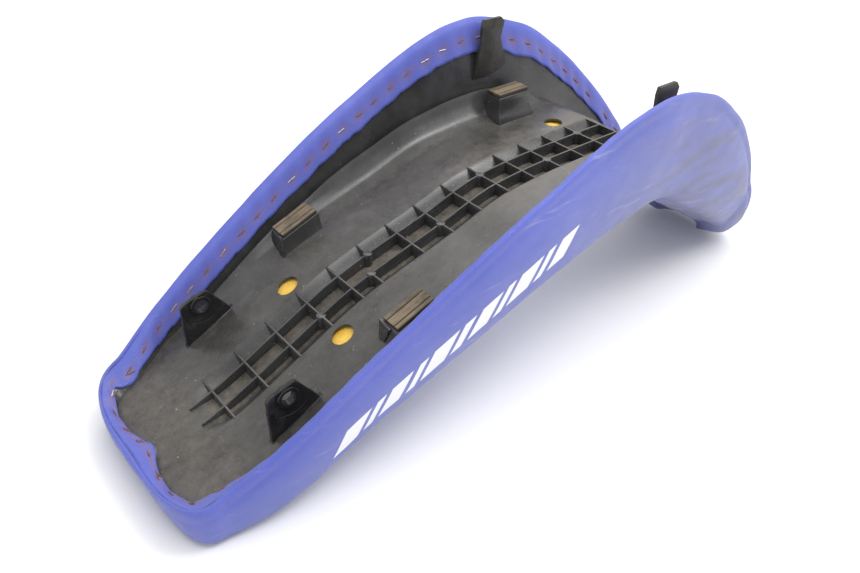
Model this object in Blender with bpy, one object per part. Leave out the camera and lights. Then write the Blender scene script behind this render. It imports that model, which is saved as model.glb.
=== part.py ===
"""Trail motorcycle seat, lying upside down on its padded top.

+X points to the front (the tank end), +Y to the left as it lies and +Z up. The origin
is on the plane of symmetry, on the floor, halfway along. Sizes are in millimetres and
turned into metres where the meshes are made.
"""
import math

import bmesh
import bpy
from mathutils import Matrix, Vector

MM = 0.001

# Overall outline
REAR_END = -390.0
NOSE_END = 390.0
REAR_SPINE = -350.0
NOSE_SPINE = 330.0
SIDE_STATIONS = 27
REAR_CORNER_POINTS = 5
NOSE_POINTS = 6
REAR_SQUARENESS = 2.8
NOSE_SQUARENESS = 2.0

# Each curve is a few points (x, value) with a smooth curve through them
RIM_HALF_WIDTH = [(-350, 110.5), (-300, 124), (-212, 134), (-100, 142), (0, 145), (90, 144),
                  (174, 136), (231, 131), (284, 120), (330, 104)]
RIM_HEIGHT = [(-390, 38), (-350, 56), (-300, 88), (-195, 154), (-54, 230), (69, 278), (104, 282),
              (174, 265), (231, 227), (284, 175), (337, 101), (367, 46), (380, 28), (390, 21.5)]
PAN_HEIGHT = [(-390, 23), (-300, 54), (-230, 88), (-160, 121), (-55, 152), (15, 172), (85, 177),
              (188, 178), (222, 160), (302, 92), (372, 30), (390, 17)]
PAD_HEIGHT = [(-390, 7), (-375, 3), (-345, 0), (-320, 1), (-277, 10), (-197, 42), (-112, 72),
              (-9, 108), (74, 130), (137, 138), (160, 135), (197, 114), (313, 40), (342, 21),
              (367, 6), (380, 3), (390, 4)]
SIDE_LEAN = [(-390, 12), (-375, 4), (-350, 6), (-300, 14), (-197, 25), (0, 30), (137, 30), (330, 29),
             (372, 25), (390, 12)]
WALL_WIDTH = [(-390, 27), (-350, 25), (-322, 22), (-300, 17), (-200, 20), (0, 21), (190, 25),
              (337, 24), (390, 14)]
SHOULDER_RISE = [(-270, 0), (-240, 6), (-180, 13), (-132, 16), (-100, 22), (-60, 25), (0, 25),
                 (63, 29), (98, 30), (126, 28), (155, 20), (190, 0)]
HEM_DROP = [(-390, 11), (-350, 15), (-300, 21), (-200, 27), (0, 30), (150, 32), (231, 38), (300, 40),
            (345, 26), (390, 8)]
CHANNEL_DEPTH = [(-335, 0), (-280, 10), (-200, 12), (150, 12), (192, 10), (215, 0)]

# Sheet thicknesses
PAN_THICKNESS = 2.5
VINYL_THICKNESS = 1.5
GAP = 0.3

# Base pan section, from the rim to the middle
RIM_EDGE_INSET = 5.0
RIM_EDGE_DROP = 3.0
HEM_STEPS = (0.0, 0.25, 0.55, 1.0)
BELOW_HEM_STEPS = (0.35, 0.75, 1.0)
WALL_POINTS = len(HEM_STEPS) + len(BELOW_HEM_STEPS)
HEM_END = len(HEM_STEPS) - 1
HEM_SHARES = (0.2, 0.8)
FOAM_START = 2
WALL_CURVE = 0.6
SHELF_STEPS = ((0.94, 1.0), (0.88, 0.6), (0.78, 0.2), (0.6, 0.03), (0.3, 0.0))
VALLEY_SHARE = 0.52
CHANNEL_HALF_WIDTH = 32.0
CHANNEL_FLOOR_HALF_WIDTH = 24.0
FAN_CHANNEL_SHARE = 0.7
FOOT_SINK = 1.4
FOAM_GAP = 2.4

# Rib grid in the channel
RIB_PITCH = 35.0
FIRST_RIB = -300.0
CROSS_RIBS = 15
LONG_RIB_OFFSET = 12.3
LONG_RIB_REAR = -316.0
LONG_RIB_FRONT = 200.0
RIB_THICKNESS = 2.0
RIB_RISE = 0.4
RIB_SINK = 1.3
BROKEN_RIB = 5
BROKEN_RIB_SHIFT = -13.0
BOSS_RADIUS = 4.6
LEFT_BOSSES = (5, 9, 13)
RIGHT_BOSSES = (3, 7, 11)

# Vent holes that show the foam
VENT_RADIUS = 10.0
VENT_OFFSET = 48.0
VENT_POSITIONS = (-195.0, 154.0)

# Bumpers: a pedestal moulded with the pan and a rubber pad on it
BUMPER_OFFSET = 95.0
PEDESTAL_WIDTH = 25.0
PEDESTAL_FLARE = 2.0
PAD_WIDTH = 21.0
PAD_LENGTH = 42.0
PAD_THICKNESS = 4.0
BUMPERS = {"middle": (-178.0, -132.0, 132.0, 149.0), "front": (103.0, 149.0, 206.0, 206.0)}

# Rear fixing ears
EAR_OFFSET = 81.0
EAR_THICKNESS = 4.0
EAR_GAP = 0.4
EAR_FOOT = (-289.0, -266.0, -243.0)
EAR_TOP = ((-262, 115), (-294, 106))
EAR_CORNER_RADIUS = 5.0
EAR_HOLE = (-272.0, 99.0)
EAR_HOLE_RADIUS = 8.5
GROMMET_NECK_RADIUS = 8.1
GROMMET_BORE_RADIUS = 6.5
GROMMET_FLANGE_RADIUS = 10.5
GROMMET_FLANGE_THICKNESS = 1.6

# Front hooks that slide under the tank bracket
TAB_TOP_OFFSET = 119.5
TAB_THICKNESS = 4.0
TAB_SINK = 1.0
TAB_FOOT = (101.0, 152.0, 220.0)
TAB_TOP = (103.0, 138.0, 285.0)

# Staples through the hem
STAPLE_CROWN = 10.6
STAPLE_WIDTH = 1.3
STAPLE_WIRE = 0.7
STAPLE_LIFT = 0.6
STAPLE_ROW = 2
STAPLE_PLACES = 86
STAPLES_MADE = 49

COLOURS = {
    "pan_plastic": ((0.045, 0.045, 0.042), 0.42, 0.0),
    "foam_yellow": ((0.85, 0.55, 0.12), 0.95, 0.0),
    "vinyl_blue": ((0.14, 0.17, 0.72), 0.5, 0.0),
    "pad_rubber": ((0.12, 0.09, 0.06), 0.85, 0.0),
    "ear_plastic": ((0.018, 0.018, 0.019), 0.3, 0.0),
    "grommet_rubber": ((0.012, 0.012, 0.012), 0.45, 0.0),
    "staple_steel": ((0.32, 0.2, 0.13), 0.55, 0.8),
}


def clear_scene():
    for item in list(bpy.data.objects):
        bpy.data.objects.remove(item, do_unlink=True)


def make_material(name):
    colour, roughness, metallic = COLOURS[name]
    material = bpy.data.materials.new(name)
    material.use_nodes = True
    shader = material.node_tree.nodes["Principled BSDF"]
    shader.inputs["Base Color"].default_value = (*colour, 1.0)
    shader.inputs["Roughness"].default_value = roughness
    shader.inputs["Metallic"].default_value = metallic
    return material


def curve_value(points, x):
    """Value at x of a smooth curve through the points, flat beyond its ends."""
    if x <= points[0][0]:
        return float(points[0][1])
    if x >= points[-1][0]:
        return float(points[-1][1])
    slopes = []
    for k in range(len(points)):
        before = points[max(k - 1, 0)]
        after = points[min(k + 1, len(points) - 1)]
        here = points[k]
        left = (here[1] - before[1]) / (here[0] - before[0]) if k > 0 else None
        right = (after[1] - here[1]) / (after[0] - here[0]) if k < len(points) - 1 else None
        if left is None or right is None:
            slopes.append(right if left is None else left)
        elif left * right <= 0:
            slopes.append(0.0)
        else:
            slopes.append(2 * left * right / (left + right))
    for k in range(len(points) - 1):
        x0, y0 = points[k]
        x1, y1 = points[k + 1]
        if x <= x1:
            span = x1 - x0
            t = (x - x0) / span
            rise = t * t * (3 - 2 * t)
            return (y0 + (y1 - y0) * rise + slopes[k] * span * t * (1 - t) ** 2
                    - slopes[k + 1] * span * t * t * (1 - t))
    return float(points[-1][1])


def quarter_outline(centre_x, end_x, half_width, squareness, count):
    """Rim points of one rounded end, from its widest point to the middle of the end."""
    points = []
    for k in range(1, count + 1):
        angle = math.pi / 2 * (1 - k / count)
        across = math.sin(angle) ** (2 / squareness)
        along = math.cos(angle) ** (2 / squareness)
        points.append((centre_x + (end_x - centre_x) * along, half_width * across))
    return points


def rim_outline():
    """Left half of the rim, rear middle to nose middle, as (x, y, spine number)."""
    step = (NOSE_SPINE - REAR_SPINE) / (SIDE_STATIONS - 1)
    stations = [REAR_SPINE + step * k for k in range(SIDE_STATIONS)]
    rear = quarter_outline(REAR_SPINE, REAR_END, curve_value(RIM_HALF_WIDTH, REAR_SPINE),
                           REAR_SQUARENESS, REAR_CORNER_POINTS)
    nose = quarter_outline(NOSE_SPINE, NOSE_END, curve_value(RIM_HALF_WIDTH, NOSE_SPINE),
                           NOSE_SQUARENESS, NOSE_POINTS)
    outline = [(x, y, 0) for x, y in reversed(rear)]
    outline += [(x, curve_value(RIM_HALF_WIDTH, x), k) for k, x in enumerate(stations)]
    outline += [(x, y, SIDE_STATIONS - 1) for x, y in nose]
    return outline, stations


class Section:
    """One vertical cut from a rim point to the spine, as (distance from spine, height)."""

    def __init__(self, x, y, spine_x):
        self.spine = Vector((spine_x, 0.0))
        self.rim = Vector((x, y))
        self.length = (self.rim - self.spine).length
        self.direction = (self.rim - self.spine) / self.length
        self.rim_height = curve_value(RIM_HEIGHT, x)
        self.pan = self.pan_points()
        self.skin = self.skin_points()

    def x_at(self, distance):
        return self.spine.x + self.direction.x * distance

    def place(self, point):
        plan = self.spine + self.direction * point[0]
        return Vector((plan.x, plan.y, point[1]))

    def pan_points(self):
        """Visible face of the base pan: wall, valley, shoulder, floor, channel, middle."""
        wall_width = curve_value(WALL_WIDTH, self.rim.x)
        foot = self.length - wall_width
        foot_x = self.x_at(foot)
        shoulder = curve_value(SHOULDER_RISE, foot_x)
        foot_height = curve_value(PAN_HEIGHT, foot_x) + shoulder * VALLEY_SHARE
        top = self.rim_height - RIM_EDGE_DROP
        points = []
        hem = curve_value(HEM_DROP, self.rim.x) / max(top - foot_height, 1.0)
        hem = min(max(hem, HEM_SHARES[0]), HEM_SHARES[1])
        shares = [hem * step for step in HEM_STEPS]
        shares += [hem + (1 - hem) * step for step in BELOW_HEM_STEPS]
        for share in shares:
            inset = RIM_EDGE_INSET + (wall_width - RIM_EDGE_INSET) * share ** WALL_CURVE
            points.append((self.length - inset, top + (foot_height - top) * share))
        half = min(CHANNEL_HALF_WIDTH, foot * FAN_CHANNEL_SHARE)
        for share, rise in SHELF_STEPS:
            across = half + (foot - half) * share
            x = self.x_at(across)
            height = curve_value(PAN_HEIGHT, x) + curve_value(SHOULDER_RISE, x) * rise
            points.append((across, height))
        floor_half = half * CHANNEL_FLOOR_HALF_WIDTH / CHANNEL_HALF_WIDTH
        for across, share in ((half, 0.0), (floor_half, 1.0), (0.0, 1.0)):
            x = self.x_at(across)
            height = curve_value(PAN_HEIGHT, x) - curve_value(CHANNEL_DEPTH, x) * share
            points.append((across, height))
        return points

    def skin_points(self):
        """Outer face of the cover from the crest, down the side and under to the middle."""
        lean = curve_value(SIDE_LEAN, self.rim.x)
        low = curve_value(PAD_HEIGHT, self.rim.x)
        height = self.rim_height - low
        crest = min(1.0, height / 20.0)
        points = [(self.length - inset, self.rim_height - drop * crest)
                  for inset, drop in ((5.0, 0.4), (2.8, 0.0), (0.9, 1.4), (0.0, 5.0))]
        side = self.rim_height - 5.0 * crest - low
        for share, inset in ((0.25, 0.08), (0.5, 0.3), (0.72, 0.6), (0.88, 1.0)):
            points.append((self.length - lean * inset, low + side * (1 - share)))
        flat = self.length - lean
        for share, lift in ((0.9, 0.045), (0.72, 0.015), (0.4, 0.0), (0.0, 0.0)):
            across = flat * share
            base = curve_value(PAD_HEIGHT, self.x_at(across))
            points.append((across, base + side * lift))
        return points

    def offset(self, points, amount):
        """Points moved sideways off their polyline, to the visible side where positive."""
        moved = []
        for k, point in enumerate(points):
            normals = []
            for start, end in ((k - 1, k), (k, k + 1)):
                if start < 0 or end >= len(points):
                    continue
                along = Vector(points[end]) - Vector(points[start])
                normals.append(Vector((along.y, -along.x)).normalized())
            normal = sum(normals, Vector((0.0, 0.0))).normalized()
            if k == len(points) - 1:
                normal = Vector((0.0, math.copysign(1.0, normal.y)))
            reach = 1.0 / max(0.6, normal.dot(normals[0]))
            moved.append((point[0] + normal.x * amount * reach, point[1] + normal.y * amount * reach))
        return moved


def make_sections():
    outline, stations = rim_outline()
    sections = [(Section(x, y, stations[spine]), spine) for x, y, spine in outline]
    return sections, stations


def ring_order(sections):
    """Section numbers and sides once round the rim, the middle ones used once."""
    last = len(sections) - 1
    left = [(k, 1) for k in range(last + 1)]
    right = [(k, -1) for k in range(last - 1, 0, -1)]
    return left + right


def surface_vertices(mesh, sections, profiles):
    """Vertices of one face of a shell: rings from the rim in, then the spine."""
    rings = []
    for level in range(len(profiles[0]) - 1):
        ring = []
        for k, side in ring_order(sections):
            place = sections[k][0].place(profiles[k][level])
            ring.append(mesh.verts.new((place.x * MM, place.y * side * MM, place.z * MM)))
        rings.append(ring)
    spine = {}
    for k, (section, number) in enumerate(sections):
        if number not in spine:
            place = section.place(profiles[k][-1])
            spine[number] = mesh.verts.new((place.x * MM, 0.0, place.z * MM))
    return rings, spine


def surface_faces(mesh, sections, rings, spine, flip):
    order = ring_order(sections)
    count = len(order)
    for here in range(count):
        there = (here + 1) % count
        for ring, inner in zip(rings, rings[1:]):
            add_face(mesh, (ring[here], ring[there], inner[there], inner[here]), flip)
        hub_here = spine[sections[order[here][0]][1]]
        hub_there = spine[sections[order[there][0]][1]]
        corners = [rings[-1][here], rings[-1][there], hub_there]
        if hub_here is not hub_there:
            corners.append(hub_here)
        add_face(mesh, corners, flip)


def add_face(mesh, corners, flip):
    corners = list(reversed(corners)) if flip else list(corners)
    mesh.faces.new(corners)


def make_shell(name, material, sections, upper, lower):
    """Closed solid between two surfaces that share the rim points."""
    mesh = bmesh.new()
    top_rings, top_spine = surface_vertices(mesh, sections, upper)
    low_rings, low_spine = surface_vertices(mesh, sections, lower)
    surface_faces(mesh, sections, top_rings, top_spine, False)
    surface_faces(mesh, sections, low_rings, low_spine, True)
    count = len(top_rings[0])
    for here in range(count):
        there = (here + 1) % count
        add_face(mesh, (top_rings[0][there], top_rings[0][here], low_rings[0][here],
                        low_rings[0][there]), False)
    bmesh.ops.triangulate(mesh, faces=mesh.faces)
    bmesh.ops.recalc_face_normals(mesh, faces=mesh.faces)
    return add_object(name, mesh, material)


def add_object(name, mesh, material):
    data = bpy.data.meshes.new(name)
    mesh.to_mesh(data)
    mesh.free()
    item = bpy.data.objects.new(name, data)
    bpy.context.collection.objects.link(item)
    if material is not None:
        data.materials.append(material)
    return item


def prism(name, outline, depth_vector, material=None):
    """Solid from a flat outline of 3D points, pushed along a vector; all in millimetres."""
    mesh = bmesh.new()
    near = [mesh.verts.new(Vector(point) * MM) for point in outline]
    far = [mesh.verts.new((Vector(point) + Vector(depth_vector)) * MM) for point in outline]
    mesh.faces.new(near)
    mesh.faces.new(list(reversed(far)))
    for k in range(len(near)):
        nxt = (k + 1) % len(near)
        mesh.faces.new((near[nxt], near[k], far[k], far[nxt]))
    bmesh.ops.recalc_face_normals(mesh, faces=mesh.faces)
    return add_object(name, mesh, material)


def cylinder(name, centre, axis, radius, length, sides=24):
    mesh = bmesh.new()
    turn = Vector((0, 0, 1)).rotation_difference(Vector(axis)).to_matrix().to_4x4()
    place = Matrix.Translation(Vector(centre) * MM) @ turn
    bmesh.ops.create_cone(mesh, cap_ends=True, segments=sides, radius1=radius * MM,
                          radius2=radius * MM, depth=length * MM, matrix=place)
    return add_object(name, mesh, None)


def combine(target, tool, operation):
    """Join a tool solid to the target, or cut it out, and remove the tool."""
    modifier = target.modifiers.new(operation.lower(), "BOOLEAN")
    modifier.operation = operation
    modifier.solver = "EXACT"
    modifier.object = tool
    evaluated = target.evaluated_get(bpy.context.evaluated_depsgraph_get())
    result = bpy.data.meshes.new_from_object(evaluated)
    target.modifiers.clear()
    target.data = result
    bpy.data.objects.remove(tool, do_unlink=True)


def side_section(x):
    return Section(x, curve_value(RIM_HALF_WIDTH, x), x)


def pan_height_at(x, across):
    """Height of the pan's visible face beside the middle line."""
    points = side_section(x).pan
    for outer, inner in zip(points, points[1:]):
        if inner[0] <= across <= outer[0]:
            share = (across - inner[0]) / max(outer[0] - inner[0], 1e-6)
            return inner[1] + (outer[1] - inner[1]) * share
    return points[-1][1]


def wall_offset_at(x, height):
    """Distance from the middle line to the pan's wall at a height."""
    points = side_section(x).pan[:WALL_POINTS]
    for upper, lower in zip(points, points[1:]):
        if lower[1] <= height <= upper[1]:
            share = (height - lower[1]) / (upper[1] - lower[1])
            return lower[0] + (upper[0] - lower[0]) * share
    return points[-1][0]


def channel_floor(x):
    return curve_value(PAN_HEIGHT, x) - curve_value(CHANNEL_DEPTH, x)


def add_long_rib(pan, across, stations):
    """Upright rib along the channel, its foot sunk into the channel floor."""
    xs = [LONG_RIB_REAR] + [x for x in stations if LONG_RIB_REAR < x < LONG_RIB_FRONT] + [LONG_RIB_FRONT]
    side = across - RIB_THICKNESS / 2
    top = [(x, side, curve_value(PAN_HEIGHT, x) + RIB_RISE) for x in xs]
    foot = [(x, side, channel_floor(x) - RIB_SINK) for x in reversed(xs)]
    combine(pan, prism("long_rib", top + foot, (0, RIB_THICKNESS, 0)), "UNION")


def add_cross_rib(pan, x, start, end):
    """Upright rib across the channel between two places, following its sloping sides."""
    rear = x - RIB_THICKNESS / 2
    top = curve_value(PAN_HEIGHT, x) + RIB_RISE
    bank = curve_value(PAN_HEIGHT, x) - RIB_SINK
    floor = channel_floor(x) - RIB_SINK
    outline = [(rear, start, top), (rear, end, top)]
    foot = [(CHANNEL_HALF_WIDTH + 1.0, bank), (CHANNEL_FLOOR_HALF_WIDTH, floor),
            (-CHANNEL_FLOOR_HALF_WIDTH, floor), (-CHANNEL_HALF_WIDTH - 1.0, bank)]
    inside = [(rear, y, z) for y, z in foot if min(start, end) <= y <= max(start, end)]
    if abs(end) <= CHANNEL_FLOOR_HALF_WIDTH:
        inside.insert(0, (rear, end, floor))
    if abs(start) <= CHANNEL_FLOOR_HALF_WIDTH:
        inside.append((rear, start, floor))
    combine(pan, prism("cross_rib", outline + inside, (RIB_THICKNESS, 0, 0)), "UNION")


def add_boss(pan, x, across):
    top = curve_value(PAN_HEIGHT, x) + RIB_RISE
    floor = max(channel_floor(x - BOSS_RADIUS), channel_floor(x + BOSS_RADIUS)) - RIB_SINK
    boss = cylinder("boss", (x, across, (top + floor) / 2), (0, 0, 1), BOSS_RADIUS, top - floor, 12)
    combine(pan, boss, "UNION")


def add_rib_grid(pan, stations):
    edge = CHANNEL_HALF_WIDTH + 1.0
    for across in (LONG_RIB_OFFSET, -LONG_RIB_OFFSET):
        add_long_rib(pan, across, stations)
    for k in range(CROSS_RIBS):
        x = FIRST_RIB + RIB_PITCH * k
        if k == BROKEN_RIB:
            add_cross_rib(pan, x, LONG_RIB_OFFSET, edge)
            add_cross_rib(pan, x + BROKEN_RIB_SHIFT, -edge, -LONG_RIB_OFFSET)
        else:
            add_cross_rib(pan, x, -edge, edge)
    for k in LEFT_BOSSES:
        add_boss(pan, FIRST_RIB + RIB_PITCH * k, LONG_RIB_OFFSET)
    for k in RIGHT_BOSSES:
        add_boss(pan, FIRST_RIB + RIB_PITCH * k, -LONG_RIB_OFFSET)
    add_boss(pan, FIRST_RIB + RIB_PITCH * BROKEN_RIB + BROKEN_RIB_SHIFT, -LONG_RIB_OFFSET)


def add_pedestal(pan, rear, front, rear_top, front_top, side):
    """Block under a rubber pad, wider at its foot, which is sunk into the pan."""
    xs = (rear - PEDESTAL_FLARE, rear, front, front + PEDESTAL_FLARE)
    mesh = bmesh.new()
    rings = []
    reach = PEDESTAL_WIDTH / 2 + PEDESTAL_FLARE
    low = BUMPER_OFFSET - reach
    high = BUMPER_OFFSET + reach
    breaks = [point[0] for point in side_section((rear + front) / 2).pan if low < point[0] < high]
    for below in [low] + sorted(breaks) + [high]:
        across = BUMPER_OFFSET + (below - BUMPER_OFFSET) * PEDESTAL_WIDTH / 2 / reach
        ring = []
        for k, x in enumerate(xs):
            if k in (1, 2):
                place = (x, side * across, rear_top if k == 1 else front_top)
            else:
                place = (x, side * below, pan_height_at(x, below) - FOOT_SINK)
            ring.append(mesh.verts.new(Vector(place) * MM))
        middle = (rear + front) / 2
        place = (middle, side * below, pan_height_at(middle, below) - FOOT_SINK)
        ring.append(mesh.verts.new(Vector(place) * MM))
        rings.append(ring)
    count = len(rings[0])
    for here, there in zip(rings, rings[1:]):
        for k in range(count):
            nxt = (k + 1) % count
            mesh.faces.new((here[k], here[nxt], there[nxt], there[k]))
    mesh.faces.new(list(reversed(rings[0])))
    mesh.faces.new(rings[-1])
    bmesh.ops.triangulate(mesh, faces=mesh.faces)
    bmesh.ops.recalc_face_normals(mesh, faces=mesh.faces)
    combine(pan, add_object("pedestal", mesh, None), "UNION")


def rounded_outline(corners, radius, first_round):
    """Corner points with arcs in place of the corners from first_round on."""
    outline = []
    count = len(corners)
    for k, corner in enumerate(corners):
        here = Vector(corner)
        if k < first_round:
            outline.append(here)
            continue
        to_last = (Vector(corners[k - 1]) - here).normalized()
        to_next = (Vector(corners[(k + 1) % count]) - here).normalized()
        half = to_last.angle(to_next) / 2
        reach = radius / math.tan(half)
        centre = here + (to_last + to_next).normalized() * (radius / math.sin(half))
        start = here + to_last * reach - centre
        end = here + to_next * reach - centre
        for step in range(5):
            outline.append(centre + start.slerp(end, step / 4, start))
    return outline


def make_ear(name, side, material):
    """Upright plate with a hole, its foot on the pan's floor."""
    foot = [(x, pan_height_at(x, EAR_OFFSET) + EAR_GAP) for x in EAR_FOOT]
    outline = rounded_outline(foot + list(EAR_TOP), EAR_CORNER_RADIUS, len(foot))
    near = side * EAR_OFFSET - EAR_THICKNESS / 2
    ear = prism(name, [(x, near, z) for x, z in outline], (0, EAR_THICKNESS, 0), material)
    hole = cylinder("ear_hole", (EAR_HOLE[0], side * EAR_OFFSET, EAR_HOLE[1]), (0, 1, 0),
                    EAR_HOLE_RADIUS, EAR_THICKNESS * 3)
    combine(ear, hole, "DIFFERENCE")
    ear.data.materials.clear()
    ear.data.materials.append(material)
    return ear


def add_tab(pan, side):
    """Leaning plate that rises off the wall of a wing to the height of the rim."""
    mesh = bmesh.new()
    rings = []
    for (rear, front, height), at_foot in ((TAB_FOOT, True), (TAB_TOP, False)):
        ring = []
        for x, inner in ((rear, True), (front, True), (front, False), (rear, False)):
            outer = TAB_TOP_OFFSET + TAB_THICKNESS / 2
            if at_foot:
                outer = wall_offset_at(x, height) + TAB_SINK
            y = side * (outer - TAB_THICKNESS if inner else outer)
            ring.append(mesh.verts.new((x * MM, y * MM, height * MM)))
        rings.append(ring)
    low, top = rings
    for k in range(4):
        nxt = (k + 1) % 4
        mesh.faces.new((low[k], low[nxt], top[nxt], top[k]))
    mesh.faces.new(top)
    mesh.faces.new(list(reversed(low)))
    bmesh.ops.recalc_face_normals(mesh, faces=mesh.faces)
    combine(pan, add_object("tab", mesh, None), "UNION")


def cut_vents(pan):
    for x in VENT_POSITIONS:
        for side in (1, -1):
            centre = (x, side * VENT_OFFSET, curve_value(PAN_HEIGHT, x))
            combine(pan, cylinder("vent", centre, (0, 0, 1), VENT_RADIUS, 20.0), "DIFFERENCE")


def make_base_pan(sections, stations, material):
    upper = [section.pan for section, _ in sections]
    lower = [section.offset(section.pan, -PAN_THICKNESS) for section, _ in sections]
    pan = make_shell("base_pan", material, sections, upper, lower)
    add_rib_grid(pan, stations)
    for rear, front, rear_top, front_top in BUMPERS.values():
        for side in (1, -1):
            add_pedestal(pan, rear, front, rear_top, front_top, side)
    for side in (1, -1):
        add_tab(pan, side)
    cut_vents(pan)
    pan.data.materials.clear()
    pan.data.materials.append(material)
    return pan


def make_cover(sections, material):
    """Vinyl from the hem edge, over the rim, down the side and across the top."""
    outer = []
    inner = []
    for section, _ in sections:
        wall = section.pan
        hem_out = section.offset(wall, GAP + VINYL_THICKNESS)[HEM_END::-1]
        hem_in = section.offset(wall, GAP)[HEM_END::-1]
        skin_in = section.offset(section.skin, VINYL_THICKNESS)
        outer.append(hem_out + section.skin)
        inner.append(hem_in + skin_in)
    return make_shell("vinyl_cover", material, sections, inner, outer)


def make_foam(sections, material):
    """Padding between the pan and the cover, ending under the hem."""
    first_skin = 4
    upper = []
    lower = []
    for section, _ in sections:
        upper.append(section.offset(section.pan, -PAN_THICKNESS - FOAM_GAP)[FOAM_START:])
        lower.append(section.offset(section.skin, VINYL_THICKNESS + GAP)[first_skin:])
    return make_shell("foam_cushion", material, sections, upper, lower)


def make_bumper_pad(name, rear, front, rear_top, front_top, side, material):
    """Rubber block on a pedestal, lying along its sloping top."""
    middle = Vector(((rear + front) / 2, side * BUMPER_OFFSET, (rear_top + front_top) / 2))
    slope = math.atan2(front_top - rear_top, front - rear)
    mesh = bmesh.new()
    bmesh.ops.create_cube(mesh, size=1.0)
    bmesh.ops.scale(mesh, vec=(PAD_LENGTH * MM, PAD_WIDTH * MM, PAD_THICKNESS * MM), verts=mesh.verts)
    bmesh.ops.bevel(mesh, geom=mesh.edges[:], offset=0.8 * MM, segments=1, affect="EDGES")
    pad = add_object(name, mesh, material)
    turn = Matrix.Rotation(-slope, 4, "Y")
    lift = turn @ Vector((0.0, 0.0, PAD_THICKNESS / 2 + GAP))
    pad.matrix_world = Matrix.Translation((middle + lift) * MM) @ turn
    return pad


def make_grommet(name, side, material):
    """Turned rubber bush in an ear hole, with a flange on each face of the ear."""
    half = EAR_THICKNESS / 2 + GAP
    rim = half + GROMMET_FLANGE_THICKNESS
    profile = [(GROMMET_BORE_RADIUS, -rim), (GROMMET_FLANGE_RADIUS, -rim),
               (GROMMET_FLANGE_RADIUS, -half), (GROMMET_NECK_RADIUS, -half),
               (GROMMET_NECK_RADIUS, half), (GROMMET_FLANGE_RADIUS, half),
               (GROMMET_FLANGE_RADIUS, rim), (GROMMET_BORE_RADIUS, rim)]
    mesh = bmesh.new()
    steps = 24
    rings = []
    for k in range(steps):
        angle = 2 * math.pi * k / steps
        rings.append([mesh.verts.new((radius * math.cos(angle) * MM, along * MM,
                                      radius * math.sin(angle) * MM)) for radius, along in profile])
    for k in range(steps):
        here = rings[k]
        there = rings[(k + 1) % steps]
        for j in range(len(profile)):
            nxt = (j + 1) % len(profile)
            mesh.faces.new((here[j], here[nxt], there[nxt], there[j]))
    bmesh.ops.recalc_face_normals(mesh, faces=mesh.faces)
    grommet = add_object(name, mesh, material)
    grommet.location = Vector((EAR_HOLE[0], side * EAR_OFFSET, EAR_HOLE[1])) * MM
    return grommet


def hem_row(sections, lift):
    """Points once round the hem where the staples sit, lifted off it, in millimetres."""
    row = []
    for k, side in ring_order(sections):
        section = sections[k][0]
        face = section.offset(section.pan, GAP + VINYL_THICKNESS + lift)
        place = section.place(face[STAPLE_ROW])
        row.append(Vector((place.x, place.y * side, place.z)))
    return row


def along_row(row, marks, distance):
    """Point of a closed row that lies at the marked distance round it."""
    distance %= marks[-1]
    for k in range(len(row)):
        if distance <= marks[k + 1]:
            share = (distance - marks[k]) / (marks[k + 1] - marks[k])
            return row[k].lerp(row[(k + 1) % len(row)], share)
    return row[0]


def make_staples(sections, material):
    """Crowns of the wire staples lying on the hem; the places between them stay empty."""
    row = hem_row(sections, STAPLE_LIFT + STAPLE_WIRE / 2)
    flat = hem_row(sections, 0.0)
    marks = [0.0]
    for k in range(len(flat)):
        marks.append(marks[-1] + (flat[(k + 1) % len(flat)] - flat[k]).length)
    for number in range(STAPLES_MADE):
        place = round(number * STAPLE_PLACES / STAPLES_MADE)
        centre = (place + 0.5) * marks[-1] / STAPLE_PLACES
        start = along_row(row, marks, centre - STAPLE_CROWN / 2)
        end = along_row(row, marks, centre + STAPLE_CROWN / 2)
        along = (end - start).normalized()
        up = along_row(row, marks, centre) - along_row(flat, marks, centre)
        up = (up - along * up.dot(along)).normalized()
        turn = Matrix((along, up.cross(along), up)).transposed().to_4x4()
        mesh = bmesh.new()
        bmesh.ops.create_cube(mesh, size=1.0)
        size = (STAPLE_CROWN * MM, STAPLE_WIDTH * MM, STAPLE_WIRE * MM)
        bmesh.ops.scale(mesh, vec=size, verts=mesh.verts)
        staple = add_object(f"staple_{number + 1:02d}", mesh, material)
        staple.matrix_world = Matrix.Translation((start + end) / 2 * MM) @ turn


def main():
    clear_scene()
    materials = {name: make_material(name) for name in COLOURS}
    sections, stations = make_sections()
    make_base_pan(sections, stations, materials["pan_plastic"])
    make_foam(sections, materials["foam_yellow"])
    make_cover(sections, materials["vinyl_blue"])
    for place, (rear, front, rear_top, front_top) in BUMPERS.items():
        for side, word in ((1, "left"), (-1, "right")):
            make_bumper_pad(f"bumper_pad_{place}_{word}", rear, front, rear_top, front_top, side,
                            materials["pad_rubber"])
    for side, word in ((1, "left"), (-1, "right")):
        make_ear(f"ear_{word}", side, materials["ear_plastic"])
        make_grommet(f"ear_grommet_{word}", side, materials["grommet_rubber"])
    make_staples(sections, materials["staple_steel"])


main()
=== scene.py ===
"""Looks of an upturned trail motorcycle seat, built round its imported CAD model.

Sizes are in millimetres until a mesh is made; +X is the front, +Y the left, +Z up.
"""
import math
import random

import bmesh
import bpy
import numpy as np
from mathutils import Matrix, Vector, noise


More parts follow.
